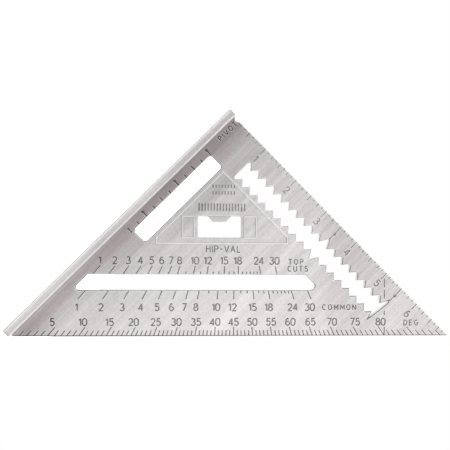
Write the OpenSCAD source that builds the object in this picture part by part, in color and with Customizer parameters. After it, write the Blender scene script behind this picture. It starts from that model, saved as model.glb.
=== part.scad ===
// Rafter square: a marked triangular plate standing in a T-shaped fence.
// Millimetres. The fence runs along +X, the ruler edge runs up +Z and the marked face looks along -Y.
// The origin is the pivot, where the fence's inner face meets the ruler edge, at mid thickness.

/* [Plate] */
// Length of each leg, from the pivot to the hypotenuse
leg = 178.6; // [178.2:0.1:179.4]
// Thickness of the plate
plate_t = 4.8; // [4.2:0.1:6]
// Width of the broken edge round the plate
rim_edge = 0.2; // [0.1:0.05:0.3]
// Width of the broken edge round the openings
opening_edge = 0.5; // [0.3:0.05:0.6]
// Height of the border and of the two frames above the plate
raise_h = 0.45; // [0.3:0.05:0.8]

/* [Fence] */
// Length of the fence
fence_len = 177.8; // [176:0.1:178]
// Width of the fence, across both faces of the plate
fence_w = 22.2; // [16:0.1:26]
// Thickness of the fence
fence_t = 5; // [4.5:0.1:7]
// Width of the broken edge on the fence
fence_edge = 0.7; // [0.4:0.1:1.2]

/* [Markings] */
// Width of a cut line
line_w = 0.55; // [0.35:0.05:0.6]
// Width of the finer lines along the ruler edge
fine_w = 0.4; // [0.3:0.05:0.6]
// Width of the bolder lines beside the fence
bold_w = 0.8; // [0.5:0.05:1]
// Width of the strokes of the figures
figure_w = 0.7; // [0.4:0.05:0.75]
// Width of the strokes of the letters
letter_w = 0.55; // [0.4:0.05:0.7]
// Depth of the cut lines, figures and letters
cut_d = 0.4; // [0.2:0.05:0.6]
// Height of the figures
figure_h = 4; // [3.4:0.1:4.2]

/* [Pencil slot] */
// Distance from the ruler edge to the tips of the outer teeth
outer_tip = 15.6; // [15.4:0.1:16.5]
// Distance from the ruler edge to the tips of the inner teeth
inner_tip = 22; // [21:0.1:22.2]
// Depth of the outer notches
outer_notch = 3.3; // [2.6:0.1:3.5]
// Depth of the inner notches
inner_notch = 2.9; // [2.4:0.1:3]

/* [Hidden] */

inch = 25.4;
over = 0.3;                      // how far a cutter passes through a face
face = plate_t / 2;              // the marked face, in the flat frame
arc_step = 15;                   // degrees between the points of a rounded corner
diag = leg / sqrt(2);            // distance from the pivot to the hypotenuse

foot_h = 2.5;                    // how deep the plate sits in the fence
foot_taper = 0.5;                // how much each side of its foot slopes in over that depth
pivot_notch_h = 3.6;
pivot_notch_d = 1.3;

// Straight slot along the fence, from 1 inch to just short of 3 1/2 inches
side_slot_x0 = inch;
side_slot_x1 = 87.5;
slot_foot = 5.6;                 // height of the slot above the fence
side_slot_h = 9.8;

// Slot across the plate, square to the bisector of the pivot corner
cross_slot_d0 = 90.9;
cross_slot_d1 = 100;
cross_slot_x = 34.9;             // distance from the ruler edge to its end
cross_slot_z = 5.3;              // height of its other end above the fence

// Pencil slot, with notches every 1/4 inch from 1 inch to 5 1/2 inches
notch_step = inch / 4;
notch_first = inch;
notch_count = 19;
notch_flat = 1;                  // width of the flat at the bottom of a notch
deep_notch = 10;                 // the one at 3 1/2 inches, counted from 0
deep_extra = 1.9;                // how much deeper that one and the last one are
slot_end = 24.2;
slot_end_r = 140.4;              // radius of the far end, about the pivot

// Panel inside the border
border_x = 27.1;
border_z = 17.8;
border_d = 72.9;
border_s0 = -44.7;               // places of the two cut corners, along the hypotenuse
border_s1 = 31;
ridge_w = 1;                     // width of the ridge it is made of, at the foot

// Window with its tab and its two frames
window_s = -8.5;
window_d0 = 57.4;
window_d1 = 69.7;
window_half = 12.5;
tab_half = 6.9;
tab_depth = 3.3;
tab_drop = 1.3;
frame_gap = 2;
frame_w = 6.8;

// Rows of the scales, as distances from the pivot square to the hypotenuse
hip_name_d = 76.2;
hip_figure_d = 82.9;
hip_tick_d = 86;
common_tick_d = 105.1;
common_figure_d = 109.7;
degree_name_d = 118.7;
degree_figure_d = 118.2;
degree_long_d = 121.1;
degree_short_d = 123;
hip_name_h = 3.7;
name_h = 3;                      // height of the letters that name the other scales
figure_gap = 0.2;                // space between characters, in character heights
name_gap = 0.5;
hip_name_gap = 0.34;

// Rises marked with a figure on the two rafter scales, and those with only a short line
rises = [1, 2, 3, 4, 5, 6, 7, 8, 10, 12, 15, 18, 24, 30];
small_rises = [9, 11, 13, 14, 16, 17, 19, 20, 21, 22, 23];
common_run = 12;
hip_run = 17;

// ---- Outlines -------------------------------------------------------------------------------

function unit(v) = v / norm(v);
function left_of(v) = [-v.y, v.x];
function reversed(list) = [for (i = [len(list) - 1:-1:0]) list[i]];

// Where the offset corner lies when both sides that meet at it move out to the left by one
function mitre(into, out) =
    let (a = left_of(unit(into)), b = left_of(unit(out)))
    (a + b) / (1 + a * b);

// A closed outline moved out by d. The outline runs anticlockwise.
function grown(points, d) =
    let (n = len(points))
    [for (i = [0:n - 1])
        let (p = points[i], before = points[(i + n - 1) % n], after = points[(i + 1) % n])
        p - d * mitre(p - before, after - p)];

// An open line of points as the outline of a stroke of width w
function stroke(points, w) =
    let (
        last = len(points) - 1,
        sides = [for (i = [0:last])
            let (
                into = i == 0 ? points[1] - points[0] : points[i] - points[i - 1],
                out = i == last ? into : points[i + 1] - points[i]
            )
            mitre(into, out) * w / 2]
    )
    concat(
        [for (i = [0:last]) points[i] - sides[i]],
        [for (i = [last:-1:0]) points[i] + sides[i]]
    );

// Points along an ellipse from angle a to angle b
function bow(centre, rx, ry, a, b, steps) =
    [for (i = [0:steps])
        let (t = a + (b - a) * i / steps)
        centre + [rx * cos(t), ry * sin(t)]];

// A closed convex outline, anticlockwise, with each corner turned at its own radius in the list r
function rounded(points, r) =
    let (n = len(points))
    [for (i = [0:n - 1])
        let (
            p = points[i],
            a = unit(points[(i + n - 1) % n] - p),
            b = unit(points[(i + 1) % n] - p),
            half = acos(a * b) / 2,
            turn = 180 - 2 * half,
            centre = p + unit(a + b) * r[i] / sin(half),
            from = p + a * r[i] / tan(half) - centre,
            steps = ceil(turn / arc_step)
        )
        for (k = [0:steps])
            let (t = turn * k / steps)
            centre + [from.x * cos(t) - from.y * sin(t), from.x * sin(t) + from.y * cos(t)]];

// ---- Solids from outlines -------------------------------------------------------------------

// A solid whose sides run straight from one outline to the next.
// rings is a list of [outline, height] from the bottom up, all with the same number of points.
// caps lists the convex pieces that make up each end, as places in the outline.
module lofted(rings, caps) {
    n = len(rings[0][0]);
    last = len(rings) - 1;
    polyhedron(
        points = [for (ring = rings) for (p = ring[0]) [p.x, p.y, ring[1]]],
        faces = concat(
            caps,
            [for (k = [0:last - 1]) for (i = [0:n - 1])
                [k * n + i, (k + 1) * n + i, (k + 1) * n + (i + 1) % n, k * n + (i + 1) % n]],
            [for (cap = caps) [for (i = reversed(cap)) last * n + i]]
        )
    );
}

// The one cap of a convex outline
function whole(points) = [[for (i = [0:len(points) - 1]) i]];

// A convex sheet of the plate's thickness, with broken edges
module edged_sheet(points) {
    inner = grown(points, -rim_edge);
    lofted([
        [inner, -face],
        [points, rim_edge - face],
        [points, face - rim_edge],
        [inner, face]
    ], whole(points));
}

// The cutter for an opening of this outline, which also breaks the edges on both faces
module edged_opening(points, caps) {
    outer = grown(points, opening_edge + over);
    lofted([
        [outer, -face - over],
        [points, opening_edge - face],
        [points, face - opening_edge],
        [outer, face + over]
    ], caps);
}

// A low raised form with sloping sides, standing on the marked face
module raised(points, slope) {
    lofted([
        [grown(points, slope * over / raise_h), face - over],
        [grown(points, -slope), face + raise_h]
    ], whole(points));
}

// A box centred on x and y, for a cut into the marked face
module face_cut(size) {
    translate([-size.x / 2, -size.y / 2, face - cut_d])
        cube([size.x, size.y, cut_d + over]);
}

// A cut line from radius a to radius b along the ray at this angle from the fence
module ray_line(angle, a, b) {
    rotate(angle)
        translate([(a + b) / 2, 0])
            face_cut([b - a, line_w]);
}

// Turns to the reading frame of the hypotenuse, where x runs along it and the pivot lies up +y
module along_hypotenuse() {
    rotate(135)
        children();
}

// ---- Figures and letters --------------------------------------------------------------------

// Each character is [width, open lines, closed lines], one unit high
function ring(cx, cy, rx, ry) = bow([cx, cy], rx, ry, 0, 330, 11);
function six_stem() = bow([0.3, 0.34], 0.3, 0.64, 178, 62, 5);

function character(c) =
    c == "0" ? [0.58, [], [concat(
        bow([0.29, 0.7], 0.29, 0.3, 0, 180, 6), bow([0.29, 0.3], 0.29, 0.3, 180, 360, 6))]] :
    c == "1" ? [0.34, [[[0.3, 0], [0.3, 1]], [[0.04, 0.76], [0.3, 0.95]]], []] :
    c == "2" ? [0.58, [
        concat(bow([0.29, 0.71], 0.27, 0.29, 165, -35, 7), [[0.06, 0.02]]),
        [[0, 0], [0.58, 0]]], []] :
    c == "3" ? [0.58, [
        bow([0.27, 0.76], 0.25, 0.24, 150, -90, 7),
        bow([0.27, 0.27], 0.3, 0.27, 90, -155, 8)], []] :
    c == "4" ? [0.6, [[[0.44, 0], [0.44, 1]], [[0.42, 0.98], [0.02, 0.28], [0.6, 0.28]]], []] :
    c == "5" ? [0.58, [
        [[0.53, 1], [0.12, 1], [0.08, 0.5]],
        bow([0.28, 0.32], 0.29, 0.32, 128, -150, 8)], []] :
    c == "6" ? [0.58, [six_stem()], [ring(0.29, 0.3, 0.28, 0.3)]] :
    c == "7" ? [0.56, [[[0, 1], [0.55, 1], [0.18, 0]]], []] :
    c == "8" ? [0.58, [], [ring(0.29, 0.76, 0.24, 0.24), ring(0.29, 0.27, 0.29, 0.27)]] :
    c == "A" ? [0.66, [
        [[0, 0], [0.33, 1]], [[0.33, 1], [0.66, 0]], [[0.13, 0.34], [0.53, 0.34]]], []] :
    c == "C" ? [0.62, [bow([0.34, 0.5], 0.34, 0.5, 48, 312, 11)], []] :
    c == "D" ? [0.6, [], [concat([[0, 1], [0, 0]], bow([0.25, 0.5], 0.35, 0.5, -90, 90, 8))]] :
    c == "E" ? [0.5, [[[0.5, 1], [0, 1], [0, 0], [0.5, 0]], [[0, 0.52], [0.42, 0.52]]], []] :
    c == "G" ? [0.66, [concat(
        bow([0.34, 0.5], 0.34, 0.5, 48, 325, 11), [[0.64, 0.46], [0.38, 0.46]])], []] :
    c == "H" ? [0.58, [[[0, 0], [0, 1]], [[0.58, 0], [0.58, 1]], [[0, 0.52], [0.58, 0.52]]], []] :
    c == "I" ? [0, [[[0, 0], [0, 1]]], []] :
    c == "L" ? [0.48, [[[0, 1], [0, 0], [0.48, 0]]], []] :
    c == "M" ? [0.72, [
        [[0, 0], [0, 1]], [[0.72, 0], [0.72, 1]], [[0.02, 0.97], [0.36, 0.3], [0.7, 0.97]]], []] :
    c == "N" ? [0.6, [[[0, 0], [0, 1]], [[0.6, 0], [0.6, 1]], [[0.02, 0.97], [0.58, 0.03]]], []] :
    c == "O" ? [0.68, [], [ring(0.34, 0.5, 0.34, 0.5)]] :
    c == "P" ? [0.54, [
        [[0, 0], [0, 1]], concat([[0, 1]], bow([0.28, 0.74], 0.26, 0.26, 90, -90, 6), [[0, 0.48]])], []] :
    c == "S" ? [0.56, [concat(
        bow([0.28, 0.75], 0.26, 0.25, 40, 262, 7), bow([0.28, 0.26], 0.28, 0.26, 82, -145, 7))], []] :
    c == "T" ? [0.6, [[[0, 1], [0.6, 1]], [[0.3, 1], [0.3, 0]]], []] :
    c == "U" ? [0.58, [concat([[0, 1]], bow([0.29, 0.29], 0.29, 0.29, 180, 360, 6), [[0.58, 1]])], []] :
    c == "V" ? [0.64, [[[0, 1], [0.32, 0]], [[0.32, 0], [0.64, 1]]], []] :
    [0.34, [[[0, 0.5], [0.34, 0.5]]], []];

// Width of the first n characters of a word and the gap after each, in character heights
function width_of(word, n, gap) =
    n == 0 ? 0 : width_of(word, n - 1, gap) + character(word[n - 1])[0] + gap;

// Cuts one character of height h in strokes of width w, with its lower left corner at the origin
module cut_character(c, h, w) {
    shape = character(c);
    translate([0, 0, face - cut_d])
        linear_extrude(cut_d + over) {
            for (points = shape[1])
                polygon(stroke(points * h, w));
            for (points = shape[2])
                difference() {
                    polygon(grown(points * h, w / 2));
                    polygon(grown(points * h, -w / 2));
                }
        }
}

// Cuts a word of height h in strokes of width w, centred at the origin
module cut_word(word, h, w, gap) {
    width = width_of(word, len(word), gap) - gap;
    for (i = [0:len(word) - 1])
        translate([(width_of(word, i, gap) - width / 2) * h, -h / 2])
            cut_character(word[i], h, w);
}

// Cuts a number, centred at the origin
module cut_figures(number) {
    cut_word(str(number), figure_h, figure_w, figure_gap);
}

// Cuts the name of a scale, centred at the origin
module cut_name(word, h = name_h, gap = name_gap) {
    cut_word(word, h, letter_w, gap);
}

// ---- Openings -------------------------------------------------------------------------------

module side_slot() {
    corner_r = 2;
    top = slot_foot + side_slot_h;
    outline = rounded([
        [side_slot_x0, slot_foot],
        [side_slot_x1, slot_foot],
        [side_slot_x1, top],
        [side_slot_x0, top]
    ], [corner_r, corner_r, corner_r, corner_r]);
    edged_opening(outline, whole(outline));
}

module cross_slot() {
    fence_end_r = 1.6;
    ruler_end_r = 2.4;
    blunt_r = 1.5;
    near = cross_slot_d0 * sqrt(2);
    far = cross_slot_d1 * sqrt(2);
    outline = rounded([
        [far - cross_slot_z, cross_slot_z],
        [cross_slot_x, far - cross_slot_x],
        [cross_slot_x, near - cross_slot_x],
        [near - cross_slot_z, cross_slot_z]
    ], [fence_end_r, ruler_end_r, blunt_r, blunt_r]);
    edged_opening(outline, whole(outline));
}

// Height of a notch above the fence
function notch_z(i) = notch_first + i * notch_step;

// Points of one notch, rising along the ruler from its bottom to the tip of the tooth above it.
// A negative depth makes a notch that opens towards the ruler edge.
function notch(i, tip_x, depth) =
    let (
        z = notch_z(i),
        deep = i == deep_notch,
        bottom = tip_x + depth + (deep ? sign(depth) * deep_extra : 0),
        half = deep ? notch_flat / 4 : notch_flat / 2
    )
    [
        [bottom, z - half],
        [bottom, z + half],
        [tip_x, z + notch_step / 2]
    ];

// The cutter for the pencil slot, with its outline capped in rungs, one between each pair of points
module pencil_slot() {
    last = notch_count - 1;
    corner = 1;
    inner_side = concat(
        [[inner_tip + inner_notch - corner, slot_end]],
        [for (i = [0:last - 1]) each notch(i, inner_tip, inner_notch)]
    );
    outer_side = concat(
        [[outer_tip - outer_notch + corner, slot_end]],
        [for (i = [0:last - 1]) each notch(i, outer_tip, -outer_notch)]
    );
    // The far end is an arc about the pivot, which opens out the last notch on each side
    end_steps = 6;
    a0 = asin((outer_tip - outer_notch - corner / 2) / slot_end_r);
    a1 = asin((inner_tip + inner_notch + deep_extra - corner / 2) / slot_end_r);
    far_end = [for (k = [0:end_steps])
        let (a = a1 + (a0 - a1) * k / end_steps)
        slot_end_r * [sin(a), cos(a)]];
    outer_corner = [outer_tip - outer_notch - deep_extra, notch_z(last) - notch_flat / 2];
    outline = concat(inner_side, far_end, [outer_corner], reversed(outer_side));
    n = len(outline);
    rungs = len(inner_side) - 1;
    edged_opening(outline, concat(
        [for (k = [0:rungs - 1]) [k, k + 1, n - 2 - k, n - 1 - k]],
        [[for (i = [rungs:n - 1 - rungs]) i]]
    ));
}

module window() {
    corner_r = 0.8;
    outline = rounded([
        [window_s - window_half, -window_d1],
        [window_s + window_half, -window_d1],
        [window_s + window_half, -window_d0],
        [window_s - window_half, -window_d0]
    ], [corner_r, corner_r, corner_r, corner_r]);
    along_hypotenuse()
        edged_opening(outline, whole(outline));
}

// Small vee in the ruler edge, just above the fence, that marks the pivot
module pivot_notch() {
    half = pivot_notch_h / 2;
    outline = [
        [-pivot_notch_d, -half],
        [pivot_notch_d, half],
        [-pivot_notch_d, 3 * half]
    ];
    edged_opening(outline, whole(outline));
}

// ---- Raised work ----------------------------------------------------------------------------

// A low ridge with sloping sides, standing on the marked face along this closed outline
module ridge(outline) {
    slope = 0.15;
    difference() {
        raised(grown(outline, ridge_w / 2), slope);
        lofted([
            [grown(outline, -ridge_w / 2 - slope * 2 * over / raise_h), face - 2 * over],
            [grown(outline, -ridge_w / 2 + slope * (1 + over / raise_h)), face + raise_h + over]
        ], whole(outline));
    }
}

// The border follows both legs and the cross slot, and its two sharp corners are cut off
module border() {
    d = border_d * sqrt(2);
    s0 = border_s0 * sqrt(2);
    s1 = border_s1 * sqrt(2);
    ridge([
        [border_x, border_z],
        [border_z - s0, border_z],
        [(d - s0) / 2, (d + s0) / 2],
        [(d - s1) / 2, (d + s1) / 2],
        [border_x, border_x + s1]
    ]);
}

// Two upright frames, one at each end of the window
module window_frames() {
    inner = window_half + frame_gap;
    along_hypotenuse()
        for (x = [window_s - inner - frame_w, window_s + inner])
            ridge([
                [x, -window_d1],
                [x + frame_w, -window_d1],
                [x + frame_w, -window_d0],
                [x, -window_d0]
            ]);
}

// The tab stands in the window, set lower than the marked face
module tab() {
    low_half = tab_half - tab_depth;
    root = opening_edge + over;
    thickness = plate_t - tab_drop - opening_edge;
    along_hypotenuse()
        translate([window_s, -window_d0, opening_edge - face])
            linear_extrude(thickness)
                polygon([
                    [-tab_half, root],
                    [-tab_half, 0],
                    [-low_half, -tab_depth],
                    [low_half, -tab_depth],
                    [tab_half, 0],
                    [tab_half, root]
                ]);
}

// ---- Cut marks ------------------------------------------------------------------------------

// Inch scale along the ruler edge, in eighths
module ruler_marks() {
    lengths = [4.8, 1.3, 2.1, 1.3, 3.3, 1.3, 2.1, 1.3];
    first = 2;
    last = 55;
    for (k = [first:last])
        translate([lengths[k % 8] / 2, k * inch / 8])
            face_cut([lengths[k % 8] + over, fine_w]);
    figure_x = 8.2;
    for (k = [1:6])
        translate([figure_x, k * inch])
            rotate(90)
                cut_figures(k);
    // The lines at the two deep notches run right across, through a round dimple
    deep_reach = outer_tip - outer_notch - deep_extra;
    dimple_x = 6;
    for (i = [deep_notch, notch_count - 1]) {
        translate([deep_reach / 2, notch_z(i)])
            face_cut([deep_reach, fine_w]);
        dimple(dimple_x, notch_z(i));
    }
}

// A round dimple in the marked face
module dimple(x, y) {
    r = 1.1;
    depth = 0.6;
    translate([x, y, face + r - depth])
        sphere(r, $fn = 24);
}

// Quarter inch lines between the fence and the side slot, with a dimple at each whole inch
module side_marks() {
    dimple_z = 1.9;
    quarter_len = 1.9;
    half_len = 2.9;
    for (q = [4:14]) {
        at_inch = q % 4 == 0;
        reach = at_inch ? slot_foot - dimple_z : q % 2 == 0 ? half_len : quarter_len;
        translate([q * inch / 4, slot_foot - reach / 2])
            face_cut([bold_w, reach + 2 * over]);
        if (at_inch)
            dimple(q * inch / 4, dimple_z);
    }
    name_x = 8.9;
    name_z = 2.9;
    translate([name_x, name_z])
        rotate(180)
            cut_name("PIVOT");
}

// Distance from the pivot, along the ray at this angle, to the line at distance d
function ray_to(angle, d) = d / cos(angle - 45);

// Place along the hypotenuse where that ray crosses the line at distance d
function ray_s(angle, d) = d * tan(angle - 45);

// Degree scale along the hypotenuse, with the zero at the fence
module degree_marks() {
    for (a = [1:89])
        ray_line(a, ray_to(a, a % 5 == 0 ? degree_long_d : degree_short_d), ray_to(a, diag) + over);
    along_hypotenuse() {
        for (a = [5:5:80])
            translate([ray_s(a, degree_short_d), -degree_figure_d])
                cut_figures(a);
        translate([104.2, -degree_name_d])
            cut_name("DEG");
    }
}

// One rafter scale: lines from tick_d to the slot at slot_d, and figures at figure_d.
// Each figure stands this far aside from its line.
module rafter_scale(run, tick_d, slot_d, figure_d, aside) {
    short_part = 0.35;
    near_slot = slot_d + sign(slot_d - tick_d) * over;
    short_d = slot_d + (tick_d - slot_d) * short_part;
    for (rise = concat(rises, small_rises)) {
        a = atan(rise / run);
        start = len(search(rise, rises)) > 0 ? tick_d : short_d;
        ends = [ray_to(a, start), ray_to(a, near_slot)];
        ray_line(a, min(ends), max(ends));
    }
    along_hypotenuse()
        for (rise = rises)
            translate([ray_s(atan(rise / run), tick_d) - aside, -figure_d])
                cut_figures(rise);
}

// The hip and valley scale above the cross slot, and the common scale below it
module rafter_marks() {
    hip_aside = 0.4;
    common_aside = 0.8;
    rafter_scale(hip_run, hip_tick_d, cross_slot_d0, hip_figure_d, hip_aside);
    rafter_scale(common_run, common_tick_d, cross_slot_d1, common_figure_d, common_aside);
    along_hypotenuse() {
        translate([-6.2, -hip_name_d])
            cut_name("HIP-VAL", hip_name_h, hip_name_gap);
        translate([61.6, -common_figure_d])
            cut_name("COMMON");
        translate([36, -83.4])
            cut_name("TOP");
        translate([37.2, -87.4])
            cut_name("CUTS");
    }
}

// Broken line square to the hypotenuse, which stops at the pencil slot
module dash_line() {
    dash_s = 88.35;
    along_hypotenuse()
        for (dash = [[93, 98.1], [99.6, 104.5], [111.9, 114.3], [121.1, diag + over]])
            translate([dash_s, -(dash[0] + dash[1]) / 2])
                face_cut([line_w, dash[1] - dash[0]]);
}

// Plain upright grooves inside the border, in three rows
module grip_grooves() {
    pitch = 1.75;
    grip_row(-20.4, 52.2, 16, pitch, [0.8, 4.4]);
    grip_row(-12.4, 43.9, 8, pitch, [0.6, 2]);
    grip_row(-12.4, 40.1, 8, pitch, [0.6, 2]);
}

// A row of grooves that starts at place s along the hypotenuse, at distance d
module grip_row(s, d, count, pitch, size) {
    along_hypotenuse()
        for (i = [0:count - 1])
            translate([s + i * pitch, -d])
                face_cut(size);
}

// ---- Pieces, in the flat frame where x runs along the fence and y along the ruler -------------

// A bar along the fence's whole length, with this outline square to it, as [height, across]
module along_fence(outline, extra) {
    translate([-extra, 0])
        rotate([90, 0, 90])
            linear_extrude(fence_len + 2 * extra)
                polygon(outline);
}

// Outline of the plate's foot, which tapers so that the plate's faces end at the fence
function foot_outline(above) = [
    [above, -face],
    [above, face],
    [0, face],
    [-foot_h, face - foot_taper],
    [-foot_h, foot_taper - face],
    [0, -face]
];

module plate_flat() {
    tip = 0.3;                   // how far the tip is cut back
    tab();
    along_fence([for (i = [2:5]) foot_outline(0)[i]], 0);
    difference() {
        union() {
            edged_sheet([
                [0, -rim_edge],
                [fence_len, -rim_edge],
                [fence_len, leg - fence_len],
                [tip, leg - tip],
                [0, leg - 2 * tip]
            ]);
            border();
            window_frames();
        }
        pivot_notch();
        side_slot();
        cross_slot();
        pencil_slot();
        window();
        ruler_marks();
        side_marks();
        degree_marks();
        rafter_marks();
        dash_line();
        grip_grooves();
    }
}

module fence_flat() {
    size = [fence_len, fence_t, fence_w];
    cut = 2 * fence_edge;
    difference() {
        translate([fence_len / 2, -fence_t / 2])
            hull() {
                cube(size - [cut, cut, 0], center = true);
                cube(size - [cut, 0, cut], center = true);
                cube(size - [0, cut, cut], center = true);
            }
        along_fence(foot_outline(over), over);
    }
}

module plate() {
    color("silver")
        rotate([90, 0, 0])
            plate_flat();
}

module fence() {
    color("silver")
        rotate([90, 0, 0])
            fence_flat();
}

plate();
fence();
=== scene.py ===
"""Looks for the rafter square: brushed cast aluminium on a plain pale floor.

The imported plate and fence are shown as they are. This script gives them their finish, the light and the
camera. Metres, in the CAD frame: the fence runs along +X, the ruler edge up +Z, and the marked face looks
along -Y.
"""

import math

import bpy
from mathutils import Matrix, Vector


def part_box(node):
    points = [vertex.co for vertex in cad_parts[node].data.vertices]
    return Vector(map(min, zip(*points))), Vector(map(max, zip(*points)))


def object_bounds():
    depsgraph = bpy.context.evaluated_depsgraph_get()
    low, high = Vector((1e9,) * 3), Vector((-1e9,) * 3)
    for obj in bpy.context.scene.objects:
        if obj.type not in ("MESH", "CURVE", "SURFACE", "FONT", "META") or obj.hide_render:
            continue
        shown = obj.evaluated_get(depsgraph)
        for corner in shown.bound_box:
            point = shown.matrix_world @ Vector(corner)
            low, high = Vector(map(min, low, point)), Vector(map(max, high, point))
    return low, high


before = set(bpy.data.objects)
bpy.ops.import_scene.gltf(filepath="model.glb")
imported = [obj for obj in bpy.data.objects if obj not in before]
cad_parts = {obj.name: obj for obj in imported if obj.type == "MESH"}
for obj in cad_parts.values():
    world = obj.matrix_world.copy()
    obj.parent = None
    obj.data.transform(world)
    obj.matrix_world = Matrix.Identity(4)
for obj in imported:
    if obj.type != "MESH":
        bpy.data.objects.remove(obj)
cad_low, cad_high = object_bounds()

MM = 0.001
FACE = 2.4 * MM  # the marked face and the back lie this far from mid thickness
CUT = 0.4 * MM  # depth of the cut marks
LEG = 178.6 * MM  # from the pivot to the hypotenuse, along either leg
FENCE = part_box("fence")[1].x  # length of the fence

PLATE_TONE = 0.80  # brightness of the metal
# The fence is the same metal as the plate; its lower tone is painted shade
FENCE_TONE_IN_SHADE = 0.69
PLATE_EDGE = 0.25 * MM  # how far its edges are rounded
FENCE_EDGE = 0.8 * MM
HEADROOM = 2.0  # how many times brighter than its tone the metal may get
EDGE_SAMPLES = 4  # rays for each look around an edge or a corner

UP = Vector((0, 0, 1))
# Directions in the picture, which is turned so that the hypotenuse lies level at the bottom
PICTURE_RIGHT = Vector((-1, 0, 1)).normalized()
PICTURE_UP = Vector((-1, 0, -1)).normalized()
TOWARDS_CAMERA = Vector((0, -1, 0))


# ---- Node helpers ---------------------------------------------------------------------------


class Graph:
    """A node tree, with a few short ways to add to it."""

    def __init__(self, owner):
        owner.use_nodes = True
        self.tree = owner.node_tree
        self.tree.nodes.clear()

    def add(self, kind, **inputs):
        """A node of this kind, with its inputs set to values or linked to sockets."""
        node = self.tree.nodes.new("ShaderNode" + kind)
        for name, value in inputs.items():
            self.put(node, name.replace("_", " "), value)
        return node

    def put(self, node, name, value):
        """Sets an input, given by its name or its place, to a value or links it to a socket."""
        socket = node.inputs[name]
        if isinstance(value, bpy.types.NodeSocket):
            self.tree.links.new(value, socket)
        else:
            socket.default_value = value

    def math(self, operation, *values):
        """The result of one sum on numbers or sockets."""
        node = self.add("Math")
        node.operation = operation
        for place, value in enumerate(values):
            self.put(node, place, value)
        return node.outputs[0]

    def plus(self, a, b):
        return self.math("ADD", a, b)

    def minus(self, a, b):
        return self.math("SUBTRACT", a, b)

    def times(self, first, *others):
        for other in others:
            first = self.math("MULTIPLY", first, other)
        return first

    def blend(self, share, a, b):
        """The number a where share is 0 and b where it is 1."""
        return self.plus(self.times(a, self.minus(1.0, share)), self.times(b, share))

    def ramp(self, value, low, high, out_low=0.0, out_high=1.0):
        """value mapped smoothly from low..high to out_low..out_high."""
        node = self.add("MapRange")
        node.interpolation_type = "SMOOTHSTEP"
        for place, item in enumerate((value, low, high, out_low, out_high)):
            self.put(node, place, item)
        return node.outputs[0]

    def mix(self, share, a, b):
        """The colour a where share is 0 and b where it is 1."""
        node = self.add("Mix")
        node.data_type = "RGBA"
        node.clamp_factor = True
        for place, item in ((0, share), (6, a), (7, b)):
            self.put(node, place, item)
        return node.outputs[2]

    def darken(self, share, colour):
        """colour with this share of it taken away."""
        return self.mix(share, colour, grey(0.0))

    def dot(self, a, b):
        node = self.add("VectorMath")
        node.operation = "DOT_PRODUCT"
        self.put(node, 0, a)
        self.put(node, 1, b)
        return node.outputs["Value"]

    def noise(self, place, scale, detail=2.0, rough=0.5):
        """Noise from 0 to 1, stretched by a scale for each axis, in cycles a metre."""
        stretch = self.add("VectorMath")
        stretch.operation = "MULTIPLY"
        self.put(stretch, 0, place)
        self.put(stretch, 1, scale)
        node = self.add("TexNoise", Vector=stretch.outputs[0], Scale=1.0, Detail=detail, Roughness=rough)
        return node.outputs[0]

    def camera_ray(self):
        """1 where the camera looks straight at it, 0 where it is only reflected or lights something."""
        return self.add("LightPath").outputs["Is Camera Ray"]


def grey(value, warmth=0.0):
    """A near neutral grey, a little redder for more warmth."""
    return (value * (1 + warmth), value * (1 - warmth * 0.4), value * (1 - warmth * 0.3), 1.0)


# ---- Metal ----------------------------------------------------------------------------------


class Metal(Graph):
    """The node tree of a brushed metal, with the places and patterns that its finish is made from."""

    def __init__(self, material, edge):
        super().__init__(material)
        self.place = self.add("TexCoord").outputs["Object"]
        self.x, self.y, self.z = self.add("SeparateXYZ", Vector=self.place).outputs
        self.depth = self.math("ABSOLUTE", self.y)
        self.down = self.plus(self.x, self.z)
        self.flat = self.add("NewGeometry").outputs["True Normal"]
        self.rounded = self.bevel(edge)
        # Brush lines from hairlines to streaks, all much longer than they are wide, and an even grain
        self.hair = self.noise(self.place, (14, 60, 1200))
        self.streak = self.noise(self.place, (9, 30, 310), 2.5, 0.55)
        self.grain = self.noise(self.place, (700, 700, 700), 3.0, 0.6)

    def bevel(self, radius):
        """The normal, as if the edges were rounded to this radius."""
        node = self.add("Bevel", Radius=radius)
        node.samples = EDGE_SAMPLES
        return node.outputs[0]


def brush_level(m):
    """Brightness of the brushed metal, near 1: each pattern makes it uneven by its own strength."""
    band = m.noise(m.place, (4, 10, 110), 1.5)
    cloud = m.noise(m.place, (22, 22, 22), 3.0)
    patterns = ((m.hair, 0.22), (m.streak, 0.46), (band, 0.30), (cloud, 0.12), (m.grain, 0.32))
    level = 1.0
    for pattern, strength in patterns:
        level = m.plus(level, m.times(m.minus(pattern, 0.5), strength))
    return level


def plate_level(m):
    """How much brighter or darker than the brush lines the parts of the plate are painted, as painted
    sheen and painted shade.
    """
    # Broad bands of painted sheen along the brush lines
    band_step, band_top = 90 * MM, 57 * MM
    wave = m.math("COSINE", m.times(m.minus(m.z, band_top), math.tau / band_step))
    bands = m.plus(1.0, m.times(wave, 0.05))
    # Painted shade towards the tip end
    tip = m.ramp(m.minus(m.z, m.x), 64 * MM, 90 * MM, 1.055, 0.91)
    # Painted shade on the plate near the fence, whose lip keeps the light off it
    fence_shade = m.times(
        m.ramp(m.x, 40 * MM, 140 * MM, 0.54, 0.76),
        m.ramp(m.x, 55 * MM, 30 * MM, 1.0, 1.12),
        m.ramp(m.x, 148 * MM, 172 * MM, 1.0, 0.82),
    )
    return m.times(bands, tip, m.ramp(m.z, 2 * MM, 18 * MM, fence_shade, 1.0))


def bare_metal(m, tone, level):
    """The colour for this brightness. The darker the metal, the warmer it looks."""
    brightest = HEADROOM * tone
    tint = m.mix(m.ramp(level, 0.6, 1.05), grey(brightest, 0.085), grey(brightest, 0.03))
    return m.mix(m.times(level, 1 / HEADROOM), grey(0.0), tint)


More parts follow.
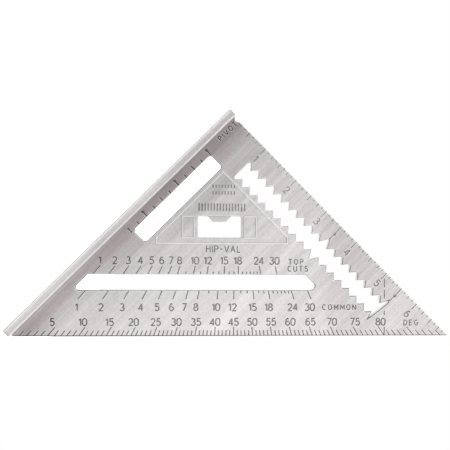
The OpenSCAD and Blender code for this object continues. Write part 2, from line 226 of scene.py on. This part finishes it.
def edge_glint_and_crease_shade(m, colour, wear_and_glint):
    """Edges are painted bright, partly rubbed wear and partly a painted highlight, and creases and corners
    get painted shade.
    """
    # Painted highlight on the edges, partly rubbed wear
    colour = m.mix(m.times(wear_and_glint, 0.7), colour, grey(0.95, 0.01))
    # Painted shade in creases and corners: the less open a point is, the darker
    corner = m.add("AmbientOcclusion", Distance=0.9 * MM)
    corner.samples = EDGE_SAMPLES
    return m.darken(m.ramp(corner.outputs["AO"], 0.9, 0.5, 0.0, 0.35), colour)


def mark_floor(m):
    """1 on the floor of a cut mark."""
    facing = m.ramp(m.math("ABSOLUTE", m.add("SeparateXYZ", Vector=m.flat).outputs[1]), 0.1, 0.9)
    below_face = m.ramp(m.depth, FACE - 0.15 * MM, FACE - 0.25 * MM)
    above_floor = m.ramp(m.depth, FACE - CUT - 0.3 * MM, FACE - CUT - 0.1 * MM)
    return m.times(below_face, above_floor, facing)


def mark_darkness(m):
    """How dark the floor of the cut marks is: partly its unbrushed cast surface, partly painted shade in
    the recess.
    """
    skin_and_shade = m.ramp(m.grain, 0.3, 0.7, 0.52, 0.33)
    # It is lighter along the ruler edge and in the middle,
    ruler = m.ramp(m.x, 11 * MM, 15 * MM, m.ramp(m.z, 20 * MM, 45 * MM, 1.0, 0.55), 1.0)
    middle = m.times(m.ramp(m.z, 15 * MM, 20 * MM), m.ramp(m.down, 100 * MM, 92 * MM))
    # and darker at the far end, and by the fence, where the darkening is painted shade
    fence_mark_shade = m.ramp(m.z, 40 * MM, 15 * MM, 1.0, 1.4)
    far_end = m.ramp(m.x, 140 * MM, 165 * MM, 1.0, 1.2)
    return m.times(skin_and_shade, ruler, fence_mark_shade, m.minus(1.0, m.times(middle, 0.3)), far_end)


def plate_colour(m, colour, floor):
    """The plate's own places: its cut marks, painted highlights on edges, painted shade on the hypotenuse,
    raised work, foot and back.
    """
    # The floors of the cut marks are darkened: unbrushed cast surface and painted shade in the recess
    colour = m.darken(m.times(floor, mark_darkness(m)), colour)
    # The edges that face up the picture get a painted highlight
    edge_highlight = m.ramp(m.dot(m.bevel(1.2 * MM), PICTURE_UP), 0.08, 0.25)
    on_face = m.ramp(m.y, 0.1 * MM - FACE, 0.05 * MM - FACE)
    colour = m.mix(m.times(edge_highlight, on_face), colour, grey(1.0))
    # The hypotenuse face gets painted shade, most of all along its two corners and at the far end
    hypotenuse = m.ramp(m.down, LEG - 1.0 * MM, LEG - 0.6 * MM)
    corners = m.ramp(m.depth, 1.2 * MM, 1.8 * MM, 0.45, 1.0)
    far_end = m.ramp(m.x, 40 * MM, 120 * MM, 0.5, 0.75)
    colour = m.darken(m.times(hypotenuse, corners, far_end), colour)
    # The tops of the raised border and frames are painted bright, partly rubbed wear and partly a painted
    # highlight. The foot only shows its sawn ends.
    foot = m.ramp(m.z, 0.0, -0.4 * MM)
    proud_wear_and_glint = m.ramp(m.depth, FACE + 0.3 * MM, FACE + 0.42 * MM, 0.0, 0.9)
    colour = m.mix(m.times(proud_wear_and_glint, m.minus(1.0, foot)), colour, grey(1.0, 0.01))
    colour = m.darken(m.times(foot, 0.45), colour)
    # The back was never rubbed bright
    return m.darken(m.ramp(m.y, FACE - 0.15 * MM, FACE - 0.05 * MM, 0.0, 0.36), colour)


def fence_colour(m, colour):
    """Painted shade on the ledges, a darker half behind the plate, and dark sawn ends."""
    # Painted shade on the ledges, which face up
    ledge_shade = m.ramp(m.dot(m.flat, UP), 0.8, 0.95)
    behind = m.ramp(m.y, 0.5 * MM, 1.5 * MM)
    colour = m.darken(m.times(m.math("MAXIMUM", ledge_shade, behind), 0.28), colour)
    from_middle = m.math("ABSOLUTE", m.minus(m.x, FENCE / 2))
    sawn = m.ramp(from_middle, FENCE / 2 - 1.2 * MM, FENCE / 2 - 0.7 * MM, 0.0, 0.45)
    return m.darken(sawn, colour)


def wear_glint_and_rough(m):
    """1 on the edges, which are painted partly as rubbed wear and partly as a painted highlight, and the
    roughness, which follows the streaks.
    """
    wear_and_glint = m.ramp(m.dot(m.rounded, m.flat), 0.995, 0.90)
    return wear_and_glint, m.plus(0.36, m.times(m.minus(m.streak, 0.5), 0.25))


def finish_metal(m, colour, rough, wear_and_glint):
    """The shader: metal brushed along the fence, and a little less metallic on the rubbed edges."""
    height = m.plus(m.hair, m.streak)
    bump = m.add("Bump", Strength=0.35, Distance=0.02 * MM, Height=height, Normal=m.rounded)
    brush = m.add("CombineXYZ", X=1.0, Y=0.0, Z=0.0)
    metal = m.add(
        "BsdfPrincipled",
        Base_Color=colour,
        Metallic=m.minus(1.0, m.times(wear_and_glint, 0.6)),
        Roughness=rough,
        Anisotropic=0.55,
        Normal=bump.outputs[0],
        Tangent=brush.outputs[0],
    )
    m.add("OutputMaterial", Surface=metal.outputs[0])


def dress(node, material):
    """Gives a CAD node this material."""
    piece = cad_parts[node]
    piece.data.materials.clear()
    piece.data.materials.append(material)


def dress_plate():
    """The plate's metal is uneven, with painted sheen and shade, and its marks, raised work and hypotenuse
    differ from the rest.
    """
    material = bpy.data.materials.new("plate_metal")
    m = Metal(material, PLATE_EDGE)
    wear_and_glint, rough = wear_glint_and_rough(m)
    level = m.times(brush_level(m), plate_level(m))
    floor = mark_floor(m)
    colour = plate_colour(m, edge_glint_and_crease_shade(m, bare_metal(m, PLATE_TONE, level), wear_and_glint), floor)
    finish_metal(m, colour, m.plus(rough, m.times(floor, 0.2)), wear_and_glint)
    dress("plate", material)


def dress_fence():
    """The fence's metal is a shade darker than the plate's, as painted shade, with more painted shade on
    its ledges.
    """
    material = bpy.data.materials.new("fence_metal")
    m = Metal(material, FENCE_EDGE)
    wear_and_glint, rough = wear_glint_and_rough(m)
    colour = fence_colour(m, edge_glint_and_crease_shade(m, bare_metal(m, FENCE_TONE_IN_SHADE, brush_level(m)), wear_and_glint))
    finish_metal(m, colour, rough, wear_and_glint)
    dress("fence", material)


# ---- Studio ---------------------------------------------------------------------------------


def pale_floor():
    """Matt white board with a very faint mottle. In front it throws little light on the metal, and only
    a strip under the fence glows onto it."""
    material = bpy.data.materials.new("floor")
    g = Graph(material)
    place = g.add("TexCoord").outputs["Object"]
    y = g.add("SeparateXYZ", Vector=place).outputs[1]
    seen = g.camera_ray()
    strip, fade = 15 * MM, 40 * MM  # the glow is full as far as the first and gone at the second
    shown = g.mix(g.noise(place, (3, 3, 3)), grey(0.90), grey(0.94))
    reflected = g.mix(g.ramp(y, -strip, -fade), grey(0.9), grey(0.28))
    outside = g.ramp(g.math("ABSOLUTE", y), strip, fade)
    glow = g.times(g.minus(1.0, g.times(outside, g.minus(1.0, seen))), 0.6)
    board = g.add(
        "BsdfPrincipled",
        Base_Color=g.mix(seen, reflected, shown),
        Roughness=0.9,
        Specular_IOR_Level=0.1,
        Emission_Color=grey(1.0),
        Emission_Strength=glow,
    )
    g.add("OutputMaterial", Surface=board.outputs[0])
    return material


def add_floor():
    """A wide floor under the fence."""
    half, low = 3.0, cad_low.z
    corners = [(-half, -half, low), (half, -half, low), (half, half, low), (-half, half, low)]
    mesh = bpy.data.meshes.new("floor")
    mesh.from_pydata(corners, [], [(0, 1, 2, 3)])
    floor = bpy.data.objects.new("floor", mesh)
    bpy.context.collection.objects.link(floor)
    mesh.materials.append(pale_floor())


def world_glow(g):
    """The light from each direction: uneven in front, almost even at the sides, bright straight behind."""
    direction = g.add("TexCoord").outputs["Generated"]
    upward = g.dot(direction, PICTURE_UP)
    rightward = g.dot(direction, PICTURE_RIGHT)
    forward = g.dot(direction, TOWARDS_CAMERA)
    # In front it is brighter from below and from the left, and again from high above
    front = g.plus(g.plus(0.80, g.times(upward, -1.7)), g.times(rightward, -0.3))
    front = g.math("MINIMUM", g.math("MAXIMUM", front, 0.25), 1.5)
    front = g.plus(front, g.ramp(upward, 0.4, 0.8, 0.0, 0.9))
    side = g.ramp(upward, -0.8, 0.8, 0.95, 1.2)
    # Behind it is softer, except straight behind, where it lights the walls of the slots
    behind = g.ramp(g.dot(direction, UP), -0.6, 0.7, 0.75, 0.95)
    behind = g.blend(g.ramp(forward, -0.70, -0.90), behind, 1.3)
    return g.blend(g.ramp(forward, -0.15, -0.6), g.blend(g.ramp(forward, 0.3, 0.7), side, front), behind)


def add_world():
    """Plain white to the camera, and a glow from all round on the metal."""
    world = bpy.data.worlds.new("studio")
    g = Graph(world)
    bpy.context.scene.world = world
    strength = g.blend(g.camera_ray(), world_glow(g), 1.0)
    sky = g.add("Background", Color=grey(1.0), Strength=strength)
    g.add("OutputWorld", Surface=sky.outputs[0])


def add_light(name, direction, distance, size, power):
    """A soft square light this far from the middle of the object, shining on it."""
    lamp = bpy.data.lights.new(name, "AREA")
    lamp.shape, lamp.size, lamp.energy = "SQUARE", size, power
    holder = bpy.data.objects.new(name, lamp)
    direction = direction.normalized()
    holder.location = (cad_low + cad_high) / 2 + direction * distance
    holder.rotation_mode = "QUATERNION"
    holder.rotation_quaternion = direction.to_track_quat("Z", "Y")
    bpy.context.collection.objects.link(holder)


def add_camera():
    """Almost square on to the marked face, with the pivot corner at the top of the picture."""
    camera = bpy.data.cameras.new("camera")
    camera.lens, camera.sensor_width = 61.7, 36.0
    camera.clip_start, camera.clip_end = 0.01, 20.0
    holder = bpy.data.objects.new("camera", camera)
    bpy.context.collection.objects.link(holder)
    bpy.context.scene.camera = holder
    heading = Matrix.Rotation(math.radians(3.11), 4, "Z")
    tilt = Matrix.Rotation(math.radians(2.74), 4, "X")
    roll = Matrix.Rotation(math.radians(-135.5), 4, "Y")
    level = Matrix.Rotation(math.radians(90), 4, "X")
    place = Matrix.Translation(Vector((71.99, -445.74, 19.08)) * MM)
    holder.matrix_world = place @ heading @ tilt @ roll @ level


def add_studio():
    add_floor()
    add_world()
    add_camera()
    key = PICTURE_RIGHT + PICTURE_UP * 0.9 + TOWARDS_CAMERA * 0.7
    add_light("key", key, distance=1.2, size=0.8, power=3)
    add_light("back", Vector((0.4, 0, 0.8)) - TOWARDS_CAMERA, distance=1.4, size=1.0, power=2)
    bpy.context.scene.view_settings.view_transform = "Standard"


dress_plate()
dress_fence()
add_studio()
